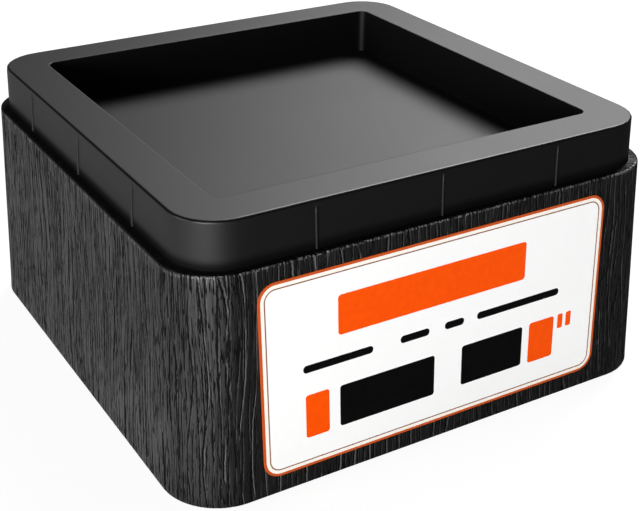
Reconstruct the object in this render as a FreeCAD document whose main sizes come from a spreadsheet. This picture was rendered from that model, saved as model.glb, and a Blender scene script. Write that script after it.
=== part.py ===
import FreeCAD, Part

import math
import os

import Sketcher

# A square bed riser: one hollow moulding that stands under a bed leg and lifts it by 76 mm.
# Its sides lean inwards from the foot to a narrow ledge. A smooth collar rises inside the ledge
# and holds the square recess that the leg stands in. The underside is cored out to a grid of ribs,
# set up from the foot so that the collar of a second riser fits in from below.
# Millimetres, +Z up. The origin is the middle of the foot, on the floor. The labelled side faces -Y.

# Driving sizes: name, value, meaning
SIZES = (
    ("base_width", 185.0, "outside width at the foot"),
    ("base_corner", 20.0, "outside corner radius at the foot"),
    ("shoulder_width", 177.8, "outside width at the ledge"),
    ("shoulder_corner", 19.0, "outside corner radius at the ledge"),
    ("shoulder_height", 78.0, "height of the ledge above the floor"),
    ("ledge_depth", 3.1, "width of the ledge, from the shoulder in to the collar"),
    ("collar_height", 15.4, "height of the collar's rim above the ledge"),
    ("collar_corner", 16.0, "outside corner radius of the collar at the ledge"),
    ("collar_draft", 2.3, "inward lean of the collar's sides, degrees"),
    ("rim_round", 0.9, "fillet round the outer edge of the rim"),
    ("recess_width", 140.4, "width of the leg recess at its mouth"),
    ("recess_corner", 3.2, "upright corner radius of the leg recess"),
    ("recess_draft", 1.0, "inward lean of the recess walls, degrees"),
    ("recess_depth", 17.2, "depth of the leg recess, which leaves a lift of 76.2"),
    ("fin_radius", 0.5, "radius of the half-round fins on the collar"),
    ("fin_count", 3, "fins on each side of the collar"),
    ("fin_pitch", 45.0, "distance between fins"),
    ("fin_stop", 1.6, "distance from the fin's tip to the rim"),
    ("fin_taper", 2.0, "length of the fin's tapered end"),
    ("fin_tip", 0.15, "radius of the fin at its very end"),
    ("shoulder_wall", 3.2, "wall thickness of the sides at the ledge"),
    ("collar_wall", 3.2, "wall thickness of the collar's sides and the rim"),
    ("recess_wall", 3.2, "wall thickness of the recess sides"),
    ("floor_thickness", 4.0, "thickness of the recess floor"),
    ("stack_clearance", 0.4, "room all round a second riser's collar in the foot"),
    ("stack_lead", 1.0, "chamfer inside the foot that guides a second riser in"),
    ("grid_count", 9, "ribs each way across the underside"),
    ("grid_tip", 1.6, "thickness of a grid rib at its lower edge"),
    ("grid_draft", 0.3, "draft on each side of a grid rib, degrees"),
    ("label_width", 131.0, "width of the front label"),
    ("label_height", 66.5, "height of the front label"),
    ("label_corner", 6.0, "corner radius of the front label"),
    ("label_thickness", 0.3, "thickness of the front label"),
    ("label_shift", -1.5, "place of the label's middle along X"),
    ("label_rise", 39.5, "distance from the foot up the side to the label's middle"),
)

SIDES = 4
LEAD_SLOPE = "45"
QUARTER_TURN = math.radians(90)
TOUCH = 1e-4

doc = FreeCAD.newDocument("bed_riser")
sheet = doc.addObject("Spreadsheet::Sheet", "sizes")
for row, (name, value, meaning) in enumerate(SIZES, 1):
    sheet.set(f"A{row}", name)
    sheet.set(f"B{row}", str(value))
    sheet.set(f"C{row}", meaning)
    sheet.setAlias(f"B{row}", name)
doc.recompute()

# Sizes that follow from the driving ones, as expressions on the sheet
SIDE_SLOPE = "((sizes.base_width - sizes.shoulder_width) / 2 / sizes.shoulder_height)"
TOTAL_HEIGHT = "(sizes.shoulder_height + sizes.collar_height)"
COLLAR_WIDTH = "(sizes.shoulder_width - 2 * sizes.ledge_depth)"
COLLAR_SLOPE = "tan(sizes.collar_draft * 1 deg)"
RIM_REACH = f"({COLLAR_WIDTH} / 2 - sizes.collar_height * {COLLAR_SLOPE})"
SOCKET_WIDTH = f"({COLLAR_WIDTH} + 2 * sizes.fin_radius + 2 * sizes.stack_clearance)"
SOCKET_CORNER = "(sizes.collar_corner + sizes.stack_clearance)"
LEAD_WIDTH = f"({SOCKET_WIDTH} + 2 * sizes.stack_lead)"
LEAD_CORNER = f"({SOCKET_CORNER} + sizes.stack_lead)"
SOCKET_DEPTH = "(sizes.collar_height + sizes.stack_clearance)"
SIDE_CORE_WIDTH = "(sizes.shoulder_width - 2 * sizes.shoulder_wall)"
SIDE_CORE_HEIGHT = "(sizes.shoulder_height - sizes.shoulder_wall)"
SIDE_CORE_DRAFT = f"atan(({SOCKET_WIDTH} - {SIDE_CORE_WIDTH}) / 2 / {SIDE_CORE_HEIGHT})"
COLLAR_CORE_WIDTH = f"({COLLAR_WIDTH} - 2 * sizes.collar_wall)"
COLLAR_CORE_CORNER = "(sizes.collar_corner - sizes.collar_wall)"
CORE_HEIGHT = f"({TOTAL_HEIGHT} - sizes.collar_wall)"
RECESS_SHELL_WIDTH = (
    "(sizes.recess_width - 2 * sizes.collar_wall * tan(sizes.recess_draft * 1 deg)"
    " + 2 * sizes.recess_wall)"
)
RECESS_SHELL_CORNER = "(sizes.recess_corner + sizes.recess_wall)"
RECESS_SHELL_DEPTH = "(sizes.recess_depth - sizes.collar_wall + sizes.floor_thickness)"
GRID_PITCH = f"({SOCKET_WIDTH} / (sizes.grid_count + 1))"
GRID_HEIGHT = f"({CORE_HEIGHT} - {SOCKET_DEPTH})"
GRID_ROOT = f"(sizes.grid_tip + 2 * {GRID_HEIGHT} * tan(sizes.grid_draft * 1 deg))"


def number(expression):
    """The value of an expression on the sheet, for a sketch's first shape."""
    return float(sheet.evalExpression(expression))


def origin_part(body, role):
    """One of the body's own origin planes or axes."""
    return next(item for item in body.Origin.OriginFeatures if item.Role == role)


def new_body(name):
    body = doc.addObject("PartDesign::Body", name)
    body.Label = name
    return body


def new_sketch(body, name, role, offset="0"):
    """A sketch on an origin plane, moved along the plane's normal by an expression."""
    sketch = body.newObject("Sketcher::SketchObject", name)
    sketch.AttachmentSupport = (origin_part(body, role), [""])
    sketch.MapMode = "FlatFace"
    sketch.setExpression("AttachmentOffset.Base.z", offset)
    return sketch


def drive(sketch, name, expression, *constraint):
    """Adds a dimension to a sketch and binds it to an expression."""
    index = sketch.addConstraint(Sketcher.Constraint(*constraint, number(expression)))
    sketch.renameConstraint(index, name)
    sketch.setExpression(f"Constraints.{name}", expression)


def rounded_rectangle(sketch, width, height, radius):
    """A rectangle about the sketch's origin with four equal round corners."""
    x, y, r = number(width) / 2, number(height) / 2, number(radius)
    lines = (((r - x, -y), (x - r, -y)), ((x, r - y), (x, y - r)),
             ((x - r, y), (r - x, y)), ((-x, y - r), (-x, r - y)))
    centres = ((x - r, r - y), (x - r, y - r), (r - x, y - r), (r - x, r - y))
    for turn, (line, centre) in enumerate(zip(lines, centres)):
        start, end = (FreeCAD.Vector(*point, 0) for point in line)
        sketch.addGeometry(Part.LineSegment(start, end))
        circle = Part.Circle(FreeCAD.Vector(*centre, 0), FreeCAD.Vector(0, 0, 1), r)
        first = (turn - 1) * QUARTER_TURN
        sketch.addGeometry(Part.ArcOfCircle(circle, first, first + QUARTER_TURN))
    for item in range(8):
        sketch.addConstraint(Sketcher.Constraint("Tangent", item, 2, (item + 1) % 8, 1))
    for line, direction in ((0, "Horizontal"), (2, "Vertical"), (4, "Horizontal"), (6, "Vertical")):
        sketch.addConstraint(Sketcher.Constraint(direction, line))
    for arc in (3, 5, 7):
        sketch.addConstraint(Sketcher.Constraint("Equal", 1, arc))
    sketch.addConstraint(Sketcher.Constraint("Symmetric", 3, 3, 7, 3, -1, 1))
    drive(sketch, "width", width, "DistanceX", 6, 1, 2, 1)
    drive(sketch, "height", height, "DistanceY", 0, 1, 4, 1)
    drive(sketch, "corner", radius, "Radius", 1)


def polygon(sketch, corners):
    """A closed outline whose corners are pairs of expressions."""
    points = [FreeCAD.Vector(number(across), number(up), 0) for across, up in corners]
    count = len(points)
    for item in range(count):
        sketch.addGeometry(Part.LineSegment(points[item], points[(item + 1) % count]))
    for item, (across, up) in enumerate(corners):
        sketch.addConstraint(Sketcher.Constraint("Coincident", item, 2, (item + 1) % count, 1))
        drive(sketch, f"across_{item}", across, "DistanceX", -1, 1, item, 1)
        drive(sketch, f"up_{item}", up, "DistanceY", -1, 1, item, 1)


def loft(body, name, lower, upper):
    """Straight sides between two outlines."""
    feature = body.newObject("PartDesign::AdditiveLoft", name)
    feature.Profile = lower
    feature.Sections = [upper]
    feature.Ruled = True
    return feature


def pad(body, name, sketch, length, draft="0"):
    """Raises a sketch, with its sides leaning inwards by the draft."""
    feature = body.newObject("PartDesign::Pad", name)
    feature.Profile = sketch
    feature.setExpression("Length", length)
    feature.setExpression("TaperAngle", f"-{draft}")
    return feature


def pocket(body, name, sketch, depth, draft="0"):
    """Sinks a sketch, with its sides leaning inwards by the draft."""
    feature = body.newObject("PartDesign::Pocket", name)
    feature.Profile = sketch
    feature.setExpression("Length", depth)
    feature.setExpression("TaperAngle", f"-{draft}")
    return feature


def edges_at(feature, height, reach):
    """Names of the level edges at a height whose ends lie at a distance from the middle planes."""
    names = []
    for item, edge in enumerate(feature.Shape.Edges, 1):
        ends = [vertex.Point for vertex in edge.Vertexes]
        level = all(abs(end.z - number(height)) < TOUCH for end in ends)
        if level and all(abs(max(abs(end.x), abs(end.y)) - number(reach)) < TOUCH for end in ends):
            names.append(f"Edge{item}")
    return names


def make_outside(body):
    """The outer form: leaning sides up to the ledge, then the collar with its rounded rim."""
    foot = new_sketch(body, "foot_outline", "XY_Plane")
    rounded_rectangle(foot, "sizes.base_width", "sizes.base_width", "sizes.base_corner")
    shoulder = new_sketch(body, "shoulder_outline", "XY_Plane", "sizes.shoulder_height")
    rounded_rectangle(shoulder, "sizes.shoulder_width", "sizes.shoulder_width", "sizes.shoulder_corner")
    loft(body, "leaning_sides", foot, shoulder)
    outline = new_sketch(body, "collar_outline", "XY_Plane", "sizes.shoulder_height")
    rounded_rectangle(outline, COLLAR_WIDTH, COLLAR_WIDTH, "sizes.collar_corner")
    collar = pad(body, "collar", outline, "sizes.collar_height", "sizes.collar_draft")
    doc.recompute()
    rim = body.newObject("PartDesign::Fillet", "rim_round")
    rim.Base = (collar, edges_at(collar, TOTAL_HEIGHT, RIM_REACH))
    rim.setExpression("Radius", "sizes.rim_round")


def make_recess(body):
    """The square pocket that takes the bed leg."""
    mouth = new_sketch(body, "recess_outline", "XY_Plane", TOTAL_HEIGHT)
    rounded_rectangle(mouth, "sizes.recess_width", "sizes.recess_width", "sizes.recess_corner")
    pocket(body, "leg_recess", mouth, "sizes.recess_depth", "sizes.recess_draft")


def make_fins(body):
    """Half-round fins up the collar, which take up the play when risers are stacked."""
    foot = f"-{COLLAR_WIDTH} / 2"
    shank = "(sizes.collar_height - sizes.fin_stop - sizes.fin_taper)"
    tip = "(sizes.collar_height - sizes.fin_stop)"
    sketch = new_sketch(body, "fin_outline", "YZ_Plane", "-(sizes.fin_count - 1) / 2 * sizes.fin_pitch")
    polygon(sketch, (
        (foot, "sizes.shoulder_height"),
        (f"{foot} - sizes.fin_radius", "sizes.shoulder_height"),
        (f"{foot} - sizes.fin_radius + {shank} * {COLLAR_SLOPE}", f"sizes.shoulder_height + {shank}"),
        (f"{foot} - sizes.fin_tip + {tip} * {COLLAR_SLOPE}", f"sizes.shoulder_height + {tip}"),
        (f"{foot} + {tip} * {COLLAR_SLOPE}", f"sizes.shoulder_height + {tip}"),
    ))
    fin = body.newObject("PartDesign::Revolution", "fin")
    fin.Profile = sketch
    fin.ReferenceAxis = (sketch, ["Edge5"])
    fin.Angle = 360
    doc.recompute()
    row = body.newObject("PartDesign::LinearPattern", "fin_row")
    row.Direction = (origin_part(body, "X_Axis"), [""])
    row.Mode = "Spacing"
    row.setExpression("Offset", "sizes.fin_pitch")
    row.setExpression("Occurrences", "sizes.fin_count")
    sides = body.newObject("PartDesign::PolarPattern", "fin_sides")
    sides.Axis = (origin_part(body, "Z_Axis"), [""])
    sides.Angle = 360
    sides.Occurrences = SIDES
    fins = body.newObject("PartDesign::MultiTransform", "fins")
    fins.Originals = [fin]
    fins.Transformations = [row, sides]
    body.Tip = fins


def make_grid_slots(body, direction, plane):
    """Slots right through the core, one for each rib of the grid that runs square to a plane."""
    first = f"-(sizes.grid_count - 1) / 2 * {GRID_PITCH}"
    sketch = new_sketch(body, f"slot_{direction}_outline", plane)
    polygon(sketch, (
        (f"{first} - sizes.grid_tip / 2", SOCKET_DEPTH),
        (f"{first} + sizes.grid_tip / 2", SOCKET_DEPTH),
        (f"{first} + {GRID_ROOT} / 2", CORE_HEIGHT),
        (f"{first} - {GRID_ROOT} / 2", CORE_HEIGHT),
    ))
    slot = body.newObject("PartDesign::Pocket", f"slot_{direction}")
    slot.Profile = sketch
    slot.Type = "ThroughAll"
    slot.Midplane = True
    pattern = body.newObject("PartDesign::LinearPattern", f"slots_{direction}")
    pattern.Originals = [slot]
    pattern.Direction = (sketch, ["H_Axis"])
    pattern.Mode = "Spacing"
    pattern.setExpression("Offset", GRID_PITCH)
    pattern.setExpression("Occurrences", "sizes.grid_count")
    body.Tip = pattern


def make_core():
    """The hollow of the underside as a solid: what the moulding's core fills, slotted for its ribs."""
    body = new_body("underside_core")
    foot = new_sketch(body, "socket_outline", "XY_Plane")
    rounded_rectangle(foot, SOCKET_WIDTH, SOCKET_WIDTH, SOCKET_CORNER)
    pad(body, "side_core", foot, SIDE_CORE_HEIGHT, SIDE_CORE_DRAFT)
    mouth = new_sketch(body, "lead_outline", "XY_Plane")
    rounded_rectangle(mouth, LEAD_WIDTH, LEAD_WIDTH, LEAD_CORNER)
    pad(body, "lead_core", mouth, "sizes.stack_lead", LEAD_SLOPE)
    outline = new_sketch(body, "collar_core_outline", "XY_Plane", SIDE_CORE_HEIGHT)
    rounded_rectangle(outline, COLLAR_CORE_WIDTH, COLLAR_CORE_WIDTH, COLLAR_CORE_CORNER)
    pad(body, "collar_core", outline, f"{CORE_HEIGHT} - {SIDE_CORE_HEIGHT}", "sizes.collar_draft")
    shell = new_sketch(body, "recess_shell_outline", "XY_Plane", CORE_HEIGHT)
    rounded_rectangle(shell, RECESS_SHELL_WIDTH, RECESS_SHELL_WIDTH, RECESS_SHELL_CORNER)
    pocket(body, "recess_shell", shell, RECESS_SHELL_DEPTH, "sizes.recess_draft")
    make_grid_slots(body, "along_y", "XZ_Plane")
    make_grid_slots(body, "along_x", "YZ_Plane")
    return body


def hollow_underside(body, core):
    """Takes the core out of the riser."""
    cut = body.newObject("PartDesign::Boolean", "underside")
    cut.Type = "Cut"
    cut.setObjects([core])


def make_label():
    """The thin label, laid on the leaning front side."""
    body = new_body("front_label")
    outline = new_sketch(body, "label_outline", "XY_Plane")
    rounded_rectangle(outline, "sizes.label_width", "sizes.label_height", "sizes.label_corner")
    pad(body, "label_sheet", outline, "sizes.label_thickness")
    lean = f"atan({SIDE_SLOPE})"
    body.Placement = FreeCAD.Placement(FreeCAD.Vector(), FreeCAD.Rotation(FreeCAD.Vector(1, 0, 0), 90))
    body.setExpression("Placement.Rotation.Angle", f"90 deg - {lean}")
    body.setExpression("Placement.Base.x", "sizes.label_shift")
    body.setExpression("Placement.Base.y", f"sizes.label_rise * sin({lean}) - sizes.base_width / 2")
    body.setExpression("Placement.Base.z", f"sizes.label_rise * cos({lean})")
    return body


def export(sub_parts):
    """Writes each sub-part to its own file, once the whole document is sound."""
    doc.recompute()
    for item in doc.Objects:
        if "Invalid" in item.State or "Error" in item.State:
            raise RuntimeError(f"{item.Name} did not build: {item.State}")
    os.makedirs("parts", exist_ok=True)
    for item in sub_parts:
        if item.Shape.isNull() or not item.Shape.isValid():
            raise RuntimeError(f"{item.Label} has no sound shape")
    for item in sub_parts:
        item.Shape.exportStep(f"parts/{item.Label}.step")
        print(item.Label, len(item.Shape.Solids), "solid", round(item.Shape.Volume), "mm3")


riser = new_body("riser")
make_outside(riser)
make_recess(riser)
make_fins(riser)
hollow_underside(riser, make_core())
export((riser, make_label()))
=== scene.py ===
import math

import bmesh
import bpy
import numpy as np
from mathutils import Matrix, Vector


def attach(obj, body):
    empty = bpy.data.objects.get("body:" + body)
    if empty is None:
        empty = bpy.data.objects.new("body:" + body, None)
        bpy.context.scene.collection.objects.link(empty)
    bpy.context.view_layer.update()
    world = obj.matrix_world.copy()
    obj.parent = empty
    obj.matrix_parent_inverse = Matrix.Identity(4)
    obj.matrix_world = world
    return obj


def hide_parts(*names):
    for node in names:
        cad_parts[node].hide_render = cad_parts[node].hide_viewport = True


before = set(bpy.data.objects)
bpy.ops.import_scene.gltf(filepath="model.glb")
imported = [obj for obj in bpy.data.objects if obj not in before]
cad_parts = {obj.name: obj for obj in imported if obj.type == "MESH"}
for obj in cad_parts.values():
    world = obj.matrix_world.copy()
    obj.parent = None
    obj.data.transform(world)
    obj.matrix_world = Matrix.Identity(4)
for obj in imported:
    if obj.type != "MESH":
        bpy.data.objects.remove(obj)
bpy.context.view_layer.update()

# The looks of a square bed riser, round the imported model. Sizes are millimetres unless a comment says
# otherwise. The outside of the moulding is rebuilt with its moulded wood grain and joined to the CAD
# model's own hollow underside, as one closed mesh.

MM = 0.001

# The moulding's sizes, as in the CAD source
BASE_HALF, BASE_CORNER = 92.5, 20.0
SHOULDER_HALF, SHOULDER_CORNER, SHOULDER_Z = 88.9, 19.0, 78.0
SIDE_LEAN = (BASE_HALF - SHOULDER_HALF) / SHOULDER_Z
COLLAR_HALF, COLLAR_CORNER, RIM_Z = 85.8, 16.0, 93.4
COLLAR_LEAN = math.tan(math.radians(2.3))
RIM_ROUND = 0.9
RECESS_HALF, RECESS_CORNER, FLOOR_Z = 70.2, 3.2, 76.2
RECESS_LEAN = math.tan(math.radians(1.0))
FINS_A_SIDE, FIN_PITCH, FIN_RADIUS = 3, 45.0, 0.5
FIN_STOP, FIN_TAPER, FIN_TIP = 1.6, 2.0, 0.15
LABEL_WIDTH, LABEL_HEIGHT, LABEL_CORNER = 131.0, 66.5, 6.0
LABEL_SHIFT, LABEL_RISE = -1.5, 39.5

# Small rounds that the CAD source leaves out
FOOT_ROUND, LEDGE_ROUND, LIP_ROUND, FLOOR_ROUND = 0.4, 0.6, 0.25, 0.3

# The skin's columns of vertices on each flat and round each corner, how many of them share one above the
# ledge, and its rows up the sides
FLAT_STEPS, CORNER_STEPS, THINNING = 528, 112, 16
SIDE_ROWS = 22
# How far from a round lies the ring that keeps its shading off the flat face beside it: on walls and the
# recess's floor, and on the rim
HOLD, RIM_HOLD = 0.4, 0.3
# The corner of the last ring, on the recess's floor
FLOOR_CORNER = 2.0

# Random streaks: their seed, the heights that they cover, and the length of random values drawn for that
SEED = 20
STREAK_LOW, STREAK_HIGH, STREAK_SPAN = -5, 100, 120
# The grain's sway: how far, and the width and length of its streaks
SWAYS = ((2.0, 13, 38), (0.35, 4, 20))
# Its rows of grooves: pitch, half width, strength and length. Each wanders by a number of pitches, in
# streaks of a width and length.
GROOVES = ((4.0, 0.32, 1.0, 30), (2.2, 0.28, 0.5, 13))
WANDER, WANDER_WIDTH, WANDER_LENGTH = 1.3, 32, 70
GROOVE_DEPTH = 0.34
# Its long waves
WAVE_DEPTH, WAVE_WIDTH, WAVE_LENGTH = 0.05, 5, 26
# Its share at the foot's rings, with their inset and height, the height where it is whole, and its share at
# distances in over the ledge
FOOT_FADE = ((FOOT_ROUND, 0.0, 0.0), (0.1, 0.1, 0.2), (0.0, FOOT_ROUND, 0.35))
GRAIN_FADE = 3
LEDGE_FADE = ((1.0, 1.0), (1.4, 0.95), (1.8, 0.85), (2.2, 0.6), (2.55, 0.3), (2.85, 0.0))
# How much longer the way over the ledge's round edge is than the height it takes
ROUND_EXTRA = 0.34

# Polish and painted shade, from -1, black painted shade, over 0, satin, to 1, polished. Shade is painted
# at heights up the collar's foot, at degrees round the recess's lip, down its walls, and at degrees round
# the edge of its floor
COLLAR_PAINTED_SHADE = ((0, -1), (0.8, -0.97), (1.7, -0.8), (2.7, -0.35), (3.8, 0))
LIP_PAINTED_SHADE = ((90, 0), (45, -0.3), (0, -0.85))
WALL_PAINTED_SHADE = -0.85
FLOOR_PAINTED_SHADE = ((0, -0.85), (30, -0.75), (60, -0.4), (90, 0))
# In rings narrower than this, the middle of the recess's upright corners is spared the painted shade, as a
# painted highlight line. The power narrows it.
PAINTED_GLINT_BELOW, PAINTED_GLINT_POWER = RECESS_HALF + 0.1, 8

# The CAD riser's hollow: how near vertices are welded, how near a face counts as the foot's, or as the
# rim's, recess's or collar's, how deep the hollow's faces lie inside the collar and inside the sides, and the
# angle from which an edge is sharp
WELD = 0.002
FOOT_MARGIN, MARGIN = 1e-3, 1
COLLAR_INSIDE, SIDE_INSIDE = 2.6, 1.5
SHARP = math.radians(25)

# The moulding's finishes, in the order of its material slots
GRAINED, SATIN, CORE = range(3)


def add_object(name, data):
    """An object in the scene, at the origin."""
    made = bpy.data.objects.new(name, data)
    bpy.context.scene.collection.objects.link(made)
    return made


def arc(degrees):
    """The cosine and sine of an angle."""
    return math.cos(math.radians(degrees)), math.sin(math.radians(degrees))


# ---- the moulded grain ----

def columns(flat_steps, corner_steps):
    """Round a square: points of the square that joins the corner centres, and the way outwards at each."""
    run = np.linspace(-1, 1, flat_steps, endpoint=False)
    sweep = np.linspace(-math.pi / 2, 0, corner_steps, endpoint=False)
    square = np.concatenate([
        np.stack([run, -np.ones(flat_steps)], 1),
        np.tile([1.0, -1.0], (corner_steps, 1)),
    ])
    outward = np.concatenate([
        np.tile([0.0, -1.0], (flat_steps, 1)),
        np.stack([np.cos(sweep), np.sin(sweep)], 1),
    ])
    squares, outwards = [], []
    for quarter in range(4):
        c, s = (round(part) for part in arc(90 * quarter))
        turn = np.array([[c, s], [-s, c]])
        squares.append(square @ turn)
        outwards.append(outward @ turn)
    return np.concatenate(squares), np.concatenate(outwards)


SQUARE, OUTWARD = columns(FLAT_STEPS, CORNER_STEPS)
FOOT = (BASE_HALF - BASE_CORNER) * SQUARE + BASE_CORNER * OUTWARD
STEPS_ROUND = np.linalg.norm(np.roll(FOOT, -1, 0) - FOOT, axis=1)
AROUND = np.concatenate([[0], np.cumsum(STEPS_ROUND)[:-1]])
PERIMETER = float(STEPS_ROUND.sum())
draw = np.random.default_rng(SEED)


def smooth(share):
    return share * share * (3 - 2 * share)


def ramp(values, low, high):
    """0 below the low value and 1 above the high one, with a soft step."""
    return smooth(np.clip((values - low) / (high - low), 0, 1))


def streaks(around, along, width, length):
    """Random values from -1 to 1 in upright streaks of about a width and length, which close up all round."""
    count = round(PERIMETER / width)
    grid = draw.uniform(-1, 1, (count, int(STREAK_SPAN / length) + 4))
    start = draw.uniform(0, 1, count)
    place = around / PERIMETER * count
    left = np.floor(place).astype(int)

    def streak(column):
        column = column % count
        spot = np.clip(along, STREAK_LOW, STREAK_HIGH) / length + start[column] - STREAK_LOW / length
        low = np.floor(spot).astype(int)
        share = smooth(spot - low)
        return grid[column, low] * (1 - share) + grid[column, low + 1] * share

    share = smooth(place - left)
    return streak(left) * (1 - share) + streak(left + 1) * share


def grain_depth(around, along):
    """The moulded grain: how far it sways sideways, its depth, and its share of groove from 0 to 1."""
    sway = sum(distance * streaks(around, along, width, length) for distance, width, length in SWAYS)
    bent = around + sway
    groove = np.zeros_like(bent)
    for pitch, half_width, strength, length in GROOVES:
        turns = bent / PERIMETER * round(PERIMETER / pitch)
        phase = turns + WANDER * streaks(bent, along, WANDER_WIDTH, WANDER_LENGTH)
        aside = np.abs(phase - np.round(phase)) * pitch
        present = ramp(streaks(bent, along, pitch, length), -0.5, 0.3)
        flank = 1 - ramp(aside, 0.1 * half_width, 1.2 * half_width)
        groove = np.maximum(groove, strength * present * flank)
    depth = GROOVE_DEPTH * groove + WAVE_DEPTH * (1 + streaks(bent, along, WAVE_WIDTH, WAVE_LENGTH))
    return sway, depth, groove


# ---- the moulding's skin ----

def side_corner(z):
    """The outside corner radius of the leaning sides at a height."""
    return BASE_CORNER - (BASE_CORNER - SHOULDER_CORNER) * z / SHOULDER_Z


def side_rings():
    """Rings up the grained sides and in over the ledge.

    Each has its half width, corner, height, the outward and upward parts of its normal, its share of the
    grain, and the length of the way up the moulding to it.
    """
    rings = []
    for inset, z, share in FOOT_FADE:
        rings.append((BASE_HALF - inset, BASE_CORNER - inset, z, 1.0, 0.0, share, z))
    for z in np.linspace(FOOT_ROUND, SHOULDER_Z - LEDGE_ROUND, SIDE_ROWS + 1)[1:]:
        rings.append((BASE_HALF - SIDE_LEAN * z, side_corner(z), z, 1.0, 0.0, min(z / GRAIN_FADE, 1.0), z))
    for degrees in (30, 60, 90):
        c, s = arc(degrees)
        inset, drop = LEDGE_ROUND * (1 - c), LEDGE_ROUND * (1 - s)
        run = SHOULDER_Z - LEDGE_ROUND + LEDGE_ROUND * math.radians(degrees)
        rings.append((SHOULDER_HALF - inset, SHOULDER_CORNER - inset, SHOULDER_Z - drop, c, s, 1.0, run))
    for inset, share in LEDGE_FADE:
        run = SHOULDER_Z + ROUND_EXTRA + inset - LEDGE_ROUND
        rings.append((SHOULDER_HALF - inset, SHOULDER_CORNER - inset, SHOULDER_Z, 0.0, 1.0, share, run))
    return rings


def smooth_rings():
    """Rings up the plain collar, over its rim and into the recess: half width, corner, height, polish,
    painted shade.
    """
    rings = []
    top = RIM_Z - RIM_ROUND
    for rise, polish_and_painted_shade in (*COLLAR_PAINTED_SHADE, (top - HOLD - SHOULDER_Z, 0)):
        inset = rise * COLLAR_LEAN
        rings.append((COLLAR_HALF - inset, COLLAR_CORNER - inset, SHOULDER_Z + rise, polish_and_painted_shade))
    inset = (top - SHOULDER_Z) * COLLAR_LEAN
    for degrees in (0, 18, 36, 54, 72, 90):
        c, s = arc(degrees)
        shrink = inset + RIM_ROUND * (1 - c)
        polished = float(0 < degrees < 90)
        rings.append((COLLAR_HALF - shrink, COLLAR_CORNER - shrink, top + RIM_ROUND * s, polished))
    shrink = inset + RIM_ROUND + RIM_HOLD
    rings.append((COLLAR_HALF - shrink, COLLAR_CORNER - shrink, RIM_Z, 0))
    spread = LIP_ROUND + RIM_HOLD
    rings.append((RECESS_HALF + spread, RECESS_CORNER + spread, RIM_Z, 0))
    for degrees, polish_and_painted_shade in LIP_PAINTED_SHADE:
        c, s = arc(degrees)
        spread, drop = LIP_ROUND * (1 - c), LIP_ROUND * (1 - s)
        rings.append((RECESS_HALF + spread, RECESS_CORNER + spread, RIM_Z - drop, polish_and_painted_shade))
    for z in (RIM_Z - LIP_ROUND - HOLD, FLOOR_Z + FLOOR_ROUND + HOLD):
        rings.append((RECESS_HALF - (RIM_Z - z) * RECESS_LEAN, RECESS_CORNER, z, WALL_PAINTED_SHADE))
    inset = (RIM_Z - FLOOR_Z - FLOOR_ROUND) * RECESS_LEAN
    for degrees, polish_and_painted_shade in FLOOR_PAINTED_SHADE:
        c, s = arc(degrees)
        shrink, rise = FLOOR_ROUND * (1 - c), FLOOR_ROUND * (1 - s)
        rings.append((RECESS_HALF - inset - shrink, RECESS_CORNER - shrink, FLOOR_Z + rise, polish_and_painted_shade))
    rings.append((RECESS_HALF - inset - FLOOR_ROUND - HOLD, FLOOR_CORNER, FLOOR_Z, 0))
    return rings


def ring_points(half, corner, z, square, outward):
    flat = (half - corner) * square + corner * outward
    return np.column_stack([flat, np.full(len(flat), z)])


def ring_quads(rings, count):
    """The four-sided faces between each ring and the next."""
    here = np.arange(count)
    ahead = (here + 1) % count
    quads = []
    for ring in range(rings - 1):
        low, high = ring * count, (ring + 1) * count
        quads.append(np.stack([low + here, low + ahead, high + ahead, high + here], 1))
    return np.concatenate(quads)


def make_skin():
    """The outside of the moulding as a mesh that is open at the foot.

    With it come the values of its grained vertices, which are the way round, the way up and the share of
    groove, and the polish and painted shade of its smooth ones.
    """
    sides, plain = side_rings(), smooth_rings()
    around = np.tile(AROUND, (len(sides), 1))
    along = np.repeat(np.array([[ring[-1]] for ring in sides]), len(AROUND), 1)
    sway, depth, groove = grain_depth(around, along)
    bent = (around + sway).ravel()
    points, runs, grooves, polish_and_painted_shades = [], [], [], []
    for ring, (half, corner, z, out, up, share, run) in enumerate(sides):
        place = ring_points(half, corner, z, SQUARE, OUTWARD)
        inward = (depth[ring] * share)[:, None]
        place[:, :2] -= inward * out * OUTWARD
        place[:, 2] -= inward[:, 0] * up
        points.append(place)
        runs.append(np.full(len(place), run))
        grooves.append(groove[ring] * share)
    few_square, few_outward = SQUARE[::THINNING], OUTWARD[::THINNING]
    # A painted highlight: the middle of each upright corner of the recess is spared the painted shade
    painted_glint = (2 * np.abs(few_outward.prod(1))) ** PAINTED_GLINT_POWER
    for half, corner, z, polish_and_painted_shade in plain:
        points.append(ring_points(half, corner, z, few_square, few_outward))
        polish_and_painted_shades.append(polish_and_painted_shade * (1 - painted_glint * (half < PAINTED_GLINT_BELOW)))
    fine, coarse = len(SQUARE), len(few_square)
    first = len(sides) * fine
    faces = ring_quads(len(sides), fine).tolist()
    grained = len(faces)
    for step in range(coarse):
        edge = [first - fine + (step * THINNING + item) % fine for item in range(THINNING + 1)]
        faces.append([*edge, first + (step + 1) % coarse, first + step])
    faces += (ring_quads(len(plain), coarse) + first).tolist()
    total = first + len(plain) * coarse
    faces.append(list(range(total - coarse, total)))
    mesh = bpy.data.meshes.new("skin")
    mesh.from_pydata((np.concatenate(points) * MM).tolist(), [], faces)
    finish = np.full(len(faces), SATIN, np.int32)
    finish[:grained] = GRAINED
    mesh.polygons.foreach_set("material_index", finish)
    for edge in mesh.edges:
        edge.use_edge_sharp = all(first <= vertex < first + coarse for vertex in edge.vertices)
    return mesh, bent, np.concatenate(runs), np.concatenate(grooves), np.concatenate(polish_and_painted_shades)


def depth_inside(point, half, corner):
    """How far a point lies inside a rounded square."""
    x, y = abs(point.x) / MM - half + corner, abs(point.y) / MM - half + corner
    return corner - math.hypot(max(x, 0), max(y, 0)) - min(max(x, y), 0)


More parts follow.
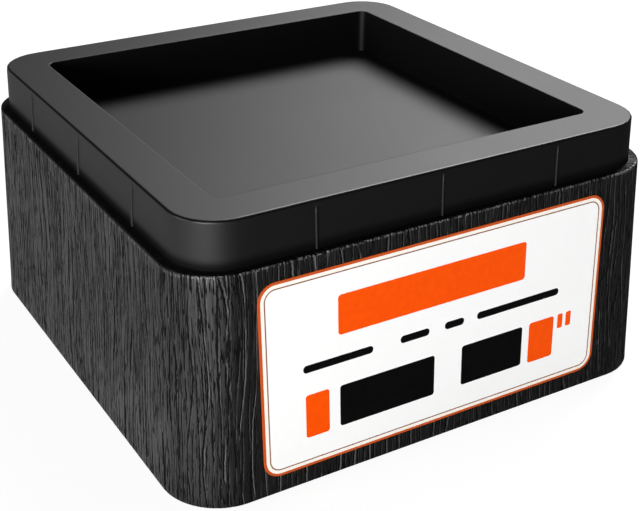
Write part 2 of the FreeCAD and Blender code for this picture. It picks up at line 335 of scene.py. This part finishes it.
def is_underside(face):
    """True for a face of the CAD riser that lies inside its hollow."""
    middle = face.calc_center_median()
    z = middle.z / MM
    if z < FOOT_MARGIN or z > RIM_Z - MARGIN:
        return False
    if z > FLOOR_Z - MARGIN and max(abs(middle.x), abs(middle.y)) / MM < RECESS_HALF + MARGIN:
        return False
    if z > SHOULDER_Z - MARGIN:
        return depth_inside(middle, COLLAR_HALF, COLLAR_CORNER) > COLLAR_INSIDE
    return depth_inside(middle, BASE_HALF - SIDE_LEAN * z, side_corner(z)) > SIDE_INSIDE


def cad_underside():
    """The hollow underside of the CAD riser as a mesh of its own."""
    hollow = bmesh.new()
    hollow.from_mesh(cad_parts["riser"].data)
    bmesh.ops.remove_doubles(hollow, verts=hollow.verts, dist=WELD * MM)
    outside = [face for face in hollow.faces if not is_underside(face)]
    bmesh.ops.delete(hollow, geom=outside, context="FACES")
    for face in hollow.faces:
        face.material_index = CORE
        face.smooth = True
    for edge in hollow.edges:
        edge.smooth = len(edge.link_faces) == 2 and edge.calc_face_angle() < SHARP
    mesh = bpy.data.meshes.new("inside")
    hollow.to_mesh(mesh)
    hollow.free()
    return mesh


def join_at_foot(skin, inside):
    """One closed mesh of the skin, the hollow underside and the foot's rim between them."""
    whole = bmesh.new()
    whole.from_mesh(skin)
    for face in whole.faces:
        face.smooth = True
    whole.from_mesh(inside)
    rims = [edge for edge in whole.edges if edge.is_boundary]
    filled = bmesh.ops.triangle_fill(whole, edges=rims, use_beauty=True, normal=(0, 0, -1))
    for item in filled["geom"]:
        if isinstance(item, bmesh.types.BMFace):
            item.material_index = CORE
            item.normal_update()
            if item.normal.z > 0:
                item.normal_flip()
    mesh = bpy.data.meshes.new("riser_moulding")
    whole.to_mesh(mesh)
    whole.free()
    bpy.data.meshes.remove(skin)
    bpy.data.meshes.remove(inside)
    return mesh


def add_attribute(mesh, name, kind, field, first, values):
    """Keeps a value or vector for each vertex from a first one on, and 0 for the rest."""
    kept = np.zeros((len(mesh.vertices), *values.shape[1:]), np.float32)
    kept[first:first + len(values)] = values
    mesh.attributes.new(name, kind, "POINT").data.foreach_set(field, kept.ravel())


def unroll(mesh, bent, runs):
    """A UV map of the grained sides: the way round and the way up, in millimetres."""
    spots = np.zeros((len(mesh.vertices), 2), np.float32)
    spots[:len(runs)] = np.column_stack([bent, runs])
    corners = np.empty(len(mesh.loops), np.int32)
    mesh.loops.foreach_get("vertex_index", corners)
    spots = spots[corners]
    # The grained faces come first, with four corners each. Where one spans the start of the way round,
    # the corners just past it go on counting instead of starting at 0.
    around = spots[:4 * (len(runs) - len(AROUND)), 0].reshape(-1, 4)
    past_start = around.max(1, keepdims=True) - around > PERIMETER / 2
    spots[:around.size, 0] = (around + PERIMETER * past_start).ravel()
    mesh.uv_layers.new(name="unrolled").data.foreach_set("uv", spots.ravel())


def make_riser():
    """The whole moulding: the skin outside, the CAD model's hollow underside, and the foot between them."""
    skin, bent, runs, grooves, polish_and_painted_shades = make_skin()
    mesh = join_at_foot(skin, cad_underside())
    # The way round is wound onto a cylinder, so that noise on it closes up
    radius = PERIMETER / (2 * math.pi)
    turn = bent / radius
    grain = np.column_stack([radius * np.cos(turn), radius * np.sin(turn), runs])
    add_attribute(mesh, "grain", "FLOAT_VECTOR", "vector", 0, grain)
    add_attribute(mesh, "groove", "FLOAT", "value", 0, grooves)
    add_attribute(mesh, "polish_and_painted_shade", "FLOAT", "value", len(runs), polish_and_painted_shades)
    unroll(mesh, bent, runs)
    return add_object("riser_moulding", mesh)


# ---- sums of nodes ----

class Socket:
    """A node's output socket. A sum on it adds the Math or Vector Math node that works it out."""

    def __init__(self, tree, socket=None):
        self.tree = tree
        self.socket = socket

    def node(self, kind, settings, sockets, output=0):
        """Adds any node: its settings first, then the values or links of its sockets."""
        made = self.tree.nodes.new(kind)
        for name, value in settings.items():
            setattr(made, name, value)
        for name, value in sockets.items():
            if isinstance(value, Socket):
                self.tree.links.new(value.socket, made.inputs[name])
            else:
                made.inputs[name].default_value = value
        return Socket(self.tree, made.outputs[output])

    def sum_of(self, operation, first, second=0.0):
        vector = any(isinstance(item, Socket) and item.socket.type == "VECTOR" for item in (first, second))
        kind = "ShaderNodeVectorMath" if vector else "ShaderNodeMath"
        return self.node(kind, {"operation": operation}, {0: first, 1: second})

    def __add__(self, other):
        return self.sum_of("ADD", self, other)

    def __mul__(self, other):
        return self.sum_of("MULTIPLY", self, other)

    def __sub__(self, other):
        return self.sum_of("SUBTRACT", self, other)

    def __rsub__(self, other):
        return self.sum_of("SUBTRACT", other, self)

    def __abs__(self):
        return self.sum_of("ABSOLUTE", self)

    def fraction(self):
        return self.sum_of("FRACT", self)

    def least(self, other):
        return self.sum_of("MINIMUM", self, other)

    def most(self, *others):
        """The greatest of this value and some others."""
        result = self
        for other in others:
            result = self.sum_of("MAXIMUM", result, other)
        return result

    def given(self, kind, output=0):
        """A value that a node has by itself, such as a place or the kind of a ray."""
        return self.node(kind, {}, {}, output)

    def attribute(self, name, output="Fac"):
        return self.node("ShaderNodeAttribute", {"attribute_name": name}, {}, output)

    def part(self, axis):
        """One of a vector's three numbers."""
        return self.node("ShaderNodeSeparateXYZ", {}, {0: self}, axis)

    def vector(self, **parts):
        """A vector of numbers named X, Y and Z, where one that is left out is 0."""
        return self.node("ShaderNodeCombineXYZ", {}, parts)

    def noise(self, scale, detail):
        """Soft random values from 0 to 1 at this place."""
        return self.node("ShaderNodeTexNoise", {}, {
            "Vector": self, "Scale": scale, "Detail": detail, "Roughness": 0.5})

    def between(self, low, high, first=0.0, last=1.0):
        """From a first value where this is low to a last value where it is high, with a soft step."""
        return self.node("ShaderNodeMapRange", {"interpolation_type": "SMOOTHSTEP"}, {
            "Value": self, "From Min": low, "From Max": high, "To Min": first, "To Max": last})

    def mix(self, first, second):
        """A colour between two, by this share."""
        # The node's sockets for colours go by number, because its sockets for other kinds have the same names
        factor, a, b, result = 0, 6, 7, 2
        return self.node("ShaderNodeMix", {"data_type": "RGBA"}, {factor: self, a: first, b: second}, result)


# ---- the collar's fins ----

# How many rings and sides a fin's rod has
FIN_STEPS, FIN_SIDES = 24, 16


def make_fins(finish):
    """Thin upright fins round the collar, repeated by Geometry Nodes and kept as a plain mesh."""
    group = bpy.data.node_groups.new("collar fins", "GeometryNodeTree")
    given = {
        "Fins a side": FINS_A_SIDE, "Pitch": FIN_PITCH * MM, "Radius": FIN_RADIUS * MM,
        "Tip share": FIN_TIP / FIN_RADIUS, "Height": (RIM_Z - SHOULDER_Z - FIN_STOP) * MM,
        "Taper": FIN_TAPER * MM, "Collar half width": COLLAR_HALF * MM, "Lean": COLLAR_LEAN,
        "Ledge height": SHOULDER_Z * MM, "Finish": finish,
    }
    kinds = {int: "NodeSocketInt", float: "NodeSocketFloat"}
    inputs = {}
    for name, value in given.items():
        kind = kinds.get(type(value), "NodeSocketMaterial")
        inputs[name] = group.interface.new_socket(name, in_out="INPUT", socket_type=kind).identifier
    group.interface.new_socket("Geometry", in_out="OUTPUT", socket_type="NodeSocketGeometry")
    outputs = group.nodes.new("NodeGroupInput").outputs
    size = {name: Socket(group, outputs[name]) for name in given}
    tree = Socket(group)

    # One fin: a tapered half-buried rod that follows the collar's lean
    tip = tree.vector(Y=size["Height"] * size["Lean"], Z=size["Height"])
    line = tree.node("GeometryNodeCurvePrimitiveLine", {}, {"End": tip})
    steps = tree.node("GeometryNodeResampleCurve", {}, {"Curve": line, "Count": FIN_STEPS})
    height = tree.given("GeometryNodeInputPosition").part("Z")
    thinned = height.between(size["Height"] - size["Taper"], size["Height"], 1.0, size["Tip share"])
    shaped = tree.node("GeometryNodeSetCurveRadius", {}, {"Curve": steps, "Radius": thinned})
    profile = tree.node("GeometryNodeCurvePrimitiveCircle", {}, {
        "Resolution": FIN_SIDES, "Radius": size["Radius"]})
    fin = tree.node("GeometryNodeCurveToMesh", {}, {
        "Curve": shaped, "Profile Curve": profile, "Scale": thinned, "Fill Caps": True})

    # A row of them on the front, and that row on all four sides
    across = (size["Fins a side"] - 1.0) * size["Pitch"] * -0.5
    start = tree.vector(X=across, Y=size["Collar half width"] * -1.0, Z=size["Ledge height"])
    row = tree.node("GeometryNodeMeshLine", {"mode": "OFFSET"}, {
        "Count": size["Fins a side"], "Start Location": start, "Offset": tree.vector(X=size["Pitch"])})
    one_side = tree.node("GeometryNodeInstanceOnPoints", {}, {"Points": row, "Instance": fin})
    corners = tree.node("GeometryNodeMeshLine", {"mode": "OFFSET"}, {"Count": 4, "Offset": (0, 0, 0)})
    turn = tree.vector(Z=tree.given("GeometryNodeInputIndex") * (math.pi / 2))
    sides = tree.node("GeometryNodeInstanceOnPoints", {}, {
        "Points": corners, "Instance": one_side, "Rotation": turn})
    solid = tree.node("GeometryNodeRealizeInstances", {}, {"Geometry": sides})
    ready = tree.node("GeometryNodeSetMaterial", {}, {"Geometry": solid, "Material": size["Finish"]})
    group.links.new(ready.socket, group.nodes.new("NodeGroupOutput").inputs[0])

    holder = add_object("fin_holder", bpy.data.meshes.new("fin_holder"))
    modifier = holder.modifiers.new("fins", "NODES")
    modifier.node_group = group
    for name, value in given.items():
        modifier[inputs[name]] = value
    bpy.context.view_layer.update()
    evaluated = holder.evaluated_get(bpy.context.evaluated_depsgraph_get())
    mesh = bpy.data.meshes.new_from_object(evaluated)
    mesh.name = "collar_fins"
    bpy.data.objects.remove(holder)
    for polygon in mesh.polygons:
        polygon.use_smooth = len(polygon.vertices) == 4
    return add_object("collar_fins", mesh)


# ---- the front label ----

# Heights above the side: the film's top, and the print's underside and top
FILM_TOP, PRINT_LOW, PRINT_TOP = 0.24, 0.23, 0.285
# A tablet's bevel, its least corner radius, and the steps round a corner
BEVEL, LEAST_CORNER, CORNER_POINTS = 0.03, 0.15, 10
# The label's finishes, in the order of its material slots
ORANGE_EDGE, CREAM, PINSTRIPE, WHITE, ORANGE_INK, BLACK_INK = range(6)
# Bands of the border: inset from the label's edge, and the finish inside it
BORDER = ((0.9, CREAM), (2.05, PINSTRIPE), (2.47, WHITE))
# Blocks of print: middle across and up from the label's middle, width, height, corner, ink
PRINT = (
    (-2.75, 16.6, 71.5, 13.6, 1.2, ORANGE_INK),
    (-38.5, 1.4, 25.0, 2.6, 1.2, BLACK_INK),
    (-10.3, 1.4, 11.0, 2.6, 1.2, BLACK_INK),
    (5.0, 1.4, 7.5, 2.6, 1.2, BLACK_INK),
    (31.0, 1.4, 34.0, 2.6, 1.2, BLACK_INK),
    (-46.2, -15.3, 8.4, 15.2, 1.0, ORANGE_INK),
    (-20.3, -15.3, 35.6, 14.6, 1.0, BLACK_INK),
    (20.8, -15.3, 25.0, 14.6, 1.0, BLACK_INK),
    (41.5, -15.3, 10.6, 15.2, 1.0, ORANGE_INK),
    (49.6, -10.4, 2.2, 5.4, 0.5, ORANGE_INK),
    (53.2, -10.4, 2.2, 5.4, 0.5, ORANGE_INK),
)


def rounded_outline(width, height, corner):
    """Points round a rectangle with round corners, counter-clockwise."""
    points = []
    for quarter, (sx, sy) in enumerate(((1, -1), (1, 1), (-1, 1), (-1, -1))):
        for step in range(CORNER_POINTS + 1):
            c, s = arc(90 * (quarter - 1) + 90 * step / CORNER_POINTS)
            points.append((sx * (width / 2 - corner) + corner * c, sy * (height / 2 - corner) + corner * s))
    return points


def add_tablet(shell, width, height, corner, low, high, middle, finish, bands=()):
    """A flat closed tablet on the label's plane.

    Bands are insets from its edge, each with the finish inside it.
    """
    levels = [(0.0, low, finish), (0.0, high - BEVEL, finish), (BEVEL, high, finish)]
    levels += [(inset, high, inner) for inset, inner in bands]
    loops = []
    for inset, level, _ in levels:
        outline = rounded_outline(width - 2 * inset, height - 2 * inset, max(corner - inset, LEAST_CORNER))
        loops.append([shell.verts.new((middle[0] + x, middle[1] + y, level)) for x, y in outline])
    shell.faces.new(reversed(loops[0])).material_index = finish
    for outer, inner, (_, _, between) in zip(loops, loops[1:], levels):
        for step in range(len(outer)):
            ahead = (step + 1) % len(outer)
            face = shell.faces.new((outer[step], outer[ahead], inner[ahead], inner[step]))
            face.material_index = between
    shell.faces.new(loops[-1]).material_index = levels[-1][2]


def make_label():
    """The thin label on the leaning front side, with its bands and raised print."""
    shell = bmesh.new()
    add_tablet(shell, LABEL_WIDTH, LABEL_HEIGHT, LABEL_CORNER, 0.0, FILM_TOP, (0, 0), ORANGE_EDGE, BORDER)
    for x, y, width, height, corner, ink in PRINT:
        add_tablet(shell, width, height, corner, PRINT_LOW, PRINT_TOP, (x, y), ink)
    slope = math.atan(SIDE_LEAN)
    right, up = Vector((1, 0, 0)), Vector((0, math.sin(slope), math.cos(slope)))
    out = right.cross(up)
    middle = Vector((LABEL_SHIFT, LABEL_RISE * math.sin(slope) - BASE_HALF, LABEL_RISE * math.cos(slope)))
    for vertex in shell.verts:
        x, y, z = vertex.co
        vertex.co = (middle + right * x + up * y + out * z) * MM
    mesh = bpy.data.meshes.new("label_sheet")
    shell.to_mesh(mesh)
    shell.free()
    return add_object("label_sheet", mesh)


# ---- finishes ----

# Lines up the grain, which are broken seams, hairs and veins with a painted highlight: their pitches, and how
# many pitches the seams and hairs, and the veins, wander
SEAM_PITCH, HAIR_PITCH, VEIN_PITCH = 2.3, 1.1, 5.1
SEAM_WANDER, VEIN_WANDER = 2.4, 2.0
# Reliefs, in metres
GRAIN_RELIEF, SATIN_RELIEF, CORE_RELIEF, FILM_RELIEF = 0.00042, 0.00002, 0.00004, 0.00003


def new_finish(name, specular):
    """A material with its Principled shader, and the socket that its sums start from."""
    material = bpy.data.materials.new(name)
    material.use_nodes = True
    shader = material.node_tree.nodes["Principled BSDF"]
    shader.inputs["Specular IOR Level"].default_value = specular
    return material, shader, Socket(material.node_tree)


def feed(shader, name, value):
    shader.id_data.links.new(value.socket, shader.inputs[name])


def emboss(shader, height, distance, strength):
    """Gives a shader relief, where a height of 1 stands for a distance in metres."""
    feed(shader, "Normal", height.node("ShaderNodeBump", {}, {
        "Strength": strength, "Distance": distance, "Height": height}))


def grey(level):
    return (level, level, level, 1)


def mix_in_painted_shade(shader, share, level):
    """Mixes a dull black of that level over a shader, by a share, as painted shade."""
    shade_black = share.node("ShaderNodeBsdfPrincipled", {}, {
        "Base Color": grey(level), "Roughness": 0.8, "Specular IOR Level": 0.05})
    surface = share.node("ShaderNodeMixShader", {}, {
        0: share, 1: Socket(share.tree, shader.outputs[0]), 2: shade_black})
    feed(share.tree.nodes["Material Output"], "Surface", surface)


def grained_plastic():
    """Black plastic with moulded wood grain.

    Broken seams, hairs and pores are cut in and get painted shade, a mixed-in black, and seams a painted
    highlight on one side. Veins stand out on the front, with a painted highlight and painted shade on one
    flank.
    The ledge gets painted shade, with painted highlight specks on its outer edge.
    """
    material, shader, tree = new_finish("grained plastic", 0.6)
    place, groove = tree.attribute("grain", "Vector"), tree.attribute("groove")
    unrolled = tree.node("ShaderNodeUVMap", {"uv_map": "unrolled"}, {})
    around, run = unrolled.part("X"), unrolled.part("Y")
    crinkle = (place * (0.8, 0.8, 0.6)).noise(1.0, 1.0)

    def lines(pitch, wander):
        """How far a place is to the right or left of the nearest line up the grain, a pitch apart."""
        drift = (place * (0.22 / pitch, 0.22 / pitch, 0.02) + (0, 0, 20 * pitch)).noise(1.0, 1.0) * wander
        turns = around * (round(PERIMETER / pitch) / PERIMETER) + drift + crinkle * (0.5 / pitch)
        return (turns.fraction() - 0.5) * pitch

    clumps = (place * (0.14, 0.14, 0.035)).noise(1.0, 2.0).between(0.4, 0.56)
    broken = (place * (0.5, 0.5, 0.07)).noise(1.0, 2.0).between(0.43, 0.49)
    pores = ((place * (2.9, 2.9, 0.2)).noise(1.0, 1.0) + clumps * 0.06).between(0.62, 0.66)
    clouds = (place * (0.09, 0.09, 0.03)).noise(1.0, 2.0)
    specks = (place * (1.3, 1.3, 1.3)).noise(1.0, 1.0).between(0.42, 0.58)
    seams = lines(SEAM_PITCH, SEAM_WANDER)
    hairs = abs(lines(HAIR_PITCH, SEAM_WANDER))
    veins = lines(VEIN_PITCH, VEIN_WANDER)

    # Where the surface lies: on the front, most of all at its left, where the veins' painted highlight is
    # strongest, and near the left or right side
    spot = tree.given("ShaderNodeTexCoord", "Object")
    across = spot.part("X")
    front = spot.part("Y").between(-0.084, -0.09) * (across.between(0.03, -0.06) * 0.75 + 0.25)
    flanks = abs(across).between(0.08, 0.09)

    # The ledge, which gets painted shade, and the painted highlight specks on its outer edge; both start
    # lower on the flanks
    top = run + flanks * 1.4
    edge = top.between(77.2, 77.6) * top.between(78.4, 78.1) * specks * (1 - flanks * 0.6)
    ledge = top.between(78.4, 78.8)

    present = (place * (0.3, 0.3, 0.04) + (0, 0, 9)).noise(1.0, 2.0).between(0.42, 0.48)
    present = present * run.between(77.8, 76.8)
    # Veins: raised, with a painted highlight that is strongest on the front's left, and painted shade along
    # one flank
    raised = abs(veins).between(0.26, 0.18) * present * (front * 0.88 + 0.12)
    shaded = abs(veins + 0.48).between(0.26, 0.18) * present
    dashes = (abs(seams) - flanks * 0.1).between(0.21, 0.13) * (broken * 0.9 + 0.1)
    cut = dashes.most(pores, shaded, hairs.between(0.14, 0.09) * clumps * 0.35)
    emboss(shader, raised * 0.6 - cut * 0.7, GRAIN_RELIEF, 1.0)

    # Painted highlights in the base colour: on one side of the seams, on the veins and in specks on the
    # ledge's outer edge
    painted_seam_highlight = seams.between(0.22, 0.28) * seams.between(0.5, 0.42) * (broken * 0.45 + 0.05)
    light = (painted_seam_highlight * 0.5).most(raised * 0.75, edge)
    feed(shader, "Base Color", light.mix(grey(0.005), grey(0.15)))
    feed(shader, "Roughness", clouds * 0.16 + 0.34)
    # Painted shade, a black mixed in: in the cut lines and grooves and on the ledge, but not on the veins
    mix_in_painted_shade(shader, cut.most(groove.between(0.4, 0.9), ledge * 0.85) * (1 - raised) * 0.95, 0.003)
    return material


def satin_plastic():
    """The collar, rim and recess: fine spark texture and slight flow marks, polished by a vertex attribute
    above 0 and given black painted shade where it is below 0.
    """
    material, shader, tree = new_finish("satin plastic", 0.4)
    place = tree.given("ShaderNodeTexCoord", "Object")
    spark = place.noise(5200.0, 2.0)
    flow = (place * (1.0, 1.0, 2.5)).noise(26.0, 3.0)
    polish_and_painted_shade = tree.attribute("polish_and_painted_shade")
    emboss(shader, spark, SATIN_RELIEF, 0.25)
    feed(shader, "Base Color", flow.mix(grey(0.0022), grey(0.0030)))
    feed(shader, "Roughness", flow * 0.05 + spark * 0.04 + 0.51 - polish_and_painted_shade.between(0.0, 1.0) * 0.2)
    # Painted shade: a black mixed in at the collar's foot, on the recess's lip and walls and round its
    # floor's edge
    mix_in_painted_shade(shader, polish_and_painted_shade.least(0.0) * -0.95, 0.002)
    return material


def core_plastic():
    """The hidden underside: plain black plastic with faint tool marks down the ribs."""
    material, shader, tree = new_finish("core plastic", 0.2)
    place = tree.given("ShaderNodeTexCoord", "Object")
    marks = (place * (1.0, 1.0, 0.15)).noise(900.0, 2.0)
    flow = place.noise(30.0, 3.0)
    emboss(shader, marks, CORE_RELIEF, 0.3)
    feed(shader, "Base Color", flow.mix(grey(0.008), grey(0.012)))
    feed(shader, "Roughness", flow * 0.12 + marks * 0.06 + 0.38)
    return material


def label_film(name, colour, shade, roughness):
    """Printed film with a faint mottle in its colour and gloss."""
    material, shader, tree = new_finish(name, 0.12)
    place = tree.given("ShaderNodeTexCoord", "Object")
    mottle, ripple = place.noise(420.0, 3.0), place.noise(60.0, 2.0)
    emboss(shader, mottle + ripple * 3.0, FILM_RELIEF, 0.15)
    feed(shader, "Base Color", mottle.between(0.3, 0.7).mix((*colour, 1), (*shade, 1)))
    feed(shader, "Roughness", mottle * 0.1 + ripple * 0.1 + (roughness - 0.1))
    return material


# ---- the part ----

riser = make_riser()
satin = satin_plastic()
for finish in (grained_plastic(), satin, core_plastic()):
    riser.data.materials.append(finish)
fins = make_fins(satin)
label = make_label()
for finish in (
    label_film("label border orange", (0.60, 0.095, 0.018), (0.56, 0.088, 0.016), 0.4),
    label_film("label cream band", (0.985, 0.935, 0.855), (0.97, 0.92, 0.84), 0.4),
    label_film("label pinstripe", (0.27, 0.10, 0.05), (0.23, 0.08, 0.04), 0.4),
    label_film("label white", (0.99, 0.99, 0.985), (0.98, 0.98, 0.975), 0.4),
    label_film("label ink orange", (1.0, 0.09, 0.0), (0.95, 0.082, 0.0), 0.35),
    label_film("label ink black", (0.002, 0.002, 0.002), (0.003, 0.003, 0.003), 0.35),
):
    label.data.materials.append(finish)
for piece, node, slot in (
    (riser, "riser", "riser_plastic"),
    (fins, "riser", "riser_plastic"),
    (label, "front_label", "label_film"),
):
    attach(piece, "root")
    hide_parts(node)


# ---- floor, light and camera, in metres ----

FLOOR_REACH = 8.0
# How the glow of the floor left of the part is set off: sine and cosine of the turn of its edge, and the
# edge's distance from the middle
CARD_SINE, CARD_COSINE, CARD_EDGE = 0.174, 0.985, 0.072
# Lamps: name, place, target, width, height, level of the face
LAMPS = (
    ("front soft box", (-1.02, -0.96, 0.21), (0, 0, 0.05), 0.9, 0.4, 18.0),
    ("left soft box", (-1.38, 0.25, 0.36), (0, 0, 0.05), 0.6, 0.6, 4.5),
    ("back soft box", (0.732, 0.574, 0.98), (0, 0, 0.08), 0.75, 0.67, 14.8),
)
# The camera: sensor in millimetres, lengths in pixels of the picture, place in metres, angles in degrees
SENSOR, PICTURE_WIDTH, FOCAL_LENGTH, CENTRE_COLUMN = 36.0, 640, 1235.07, 301.24
CAMERA_PLACE = (-0.20980, -0.36209, 0.24186)
CAMERA_DOWN, CAMERA_TURN = 27.33, -30


def ray_kinds(tree):
    """Whether a ray comes from the camera, and whether it was mirrored."""
    return [tree.given("ShaderNodeLightPath", kind) for kind in ("Is Camera Ray", "Is Glossy Ray")]


def make_floor():
    """A pale floor that looks white to the camera.

    In reflections it is dark, but glows left of the part, most of all at the front.
    """
    mesh = bpy.data.meshes.new("floor")
    corners = [(x * FLOOR_REACH, y * FLOOR_REACH, 0) for x, y in ((-1, -1), (1, -1), (1, 1), (-1, 1))]
    mesh.from_pydata(corners, [], [(0, 1, 2, 3)])
    floor = add_object("floor", mesh)
    material, shader, tree = new_finish("pale floor", 0.0)
    camera, glossy = ray_kinds(tree)
    place = tree.given("ShaderNodeTexCoord", "Object")
    back = place.part("Y")
    left_side = (back * CARD_SINE - place.part("X") * CARD_COSINE - CARD_EDGE).between(-0.02, 0.03)
    card = left_side.mix(grey(0.08), back.between(0.05, -0.15).mix(grey(0.55), grey(1.0)))
    feed(shader, "Base Color", camera.mix(glossy.mix(grey(0.3), grey(0.0)), grey(0.15)))
    feed(shader, "Emission Color", camera.mix(glossy.mix(grey(0.0), card), grey(0.9)))
    shader.inputs["Emission Strength"].default_value = 1.0
    shader.inputs["Roughness"].default_value = 1.0
    mesh.materials.append(material)


def make_world():
    """A backdrop that is white to the camera, dim as light, and dark in reflections, most of all high up."""
    world = bpy.data.worlds.new("studio")
    bpy.context.scene.world = world
    world.use_nodes = True
    tree = Socket(world.node_tree)
    camera, glossy = ray_kinds(tree)
    height = tree.given("ShaderNodeTexCoord", "Generated").part("Z")
    reflected = height.between(0.0, 0.5).mix(grey(0.1), grey(0.01))
    colour = camera.mix(glossy.mix(grey(0.3), reflected), grey(1.0))
    feed(world.node_tree.nodes["Background"], "Color", colour)


def add_lamp(name, place, target, width, height, level):
    """A soft rectangular lamp. Its power goes with its area, so that the level alone sets its brightness."""
    data = bpy.data.lights.new(name, "AREA")
    data.shape = "RECTANGLE"
    data.size, data.size_y = width, height
    data.energy = level * math.pi * width * height
    lamp = add_object(name, data)
    lamp.location = place
    aim = Vector(target) - Vector(place)
    lamp.rotation_euler = aim.to_track_quat("-Z", "Y").to_euler()


def make_camera():
    data = bpy.data.cameras.new("camera")
    data.sensor_width = SENSOR
    data.lens = SENSOR * FOCAL_LENGTH / PICTURE_WIDTH
    data.shift_x = (PICTURE_WIDTH / 2 - CENTRE_COLUMN) / PICTURE_WIDTH
    data.clip_start = 0.01
    camera = add_object("camera", data)
    camera.location = CAMERA_PLACE
    camera.rotation_euler = (math.radians(90 - CAMERA_DOWN), 0, math.radians(CAMERA_TURN))
    bpy.context.scene.camera = camera


make_floor()
make_world()
for lamp in LAMPS:
    add_lamp(*lamp)
make_camera()
bpy.context.scene.view_settings.view_transform = "Standard"
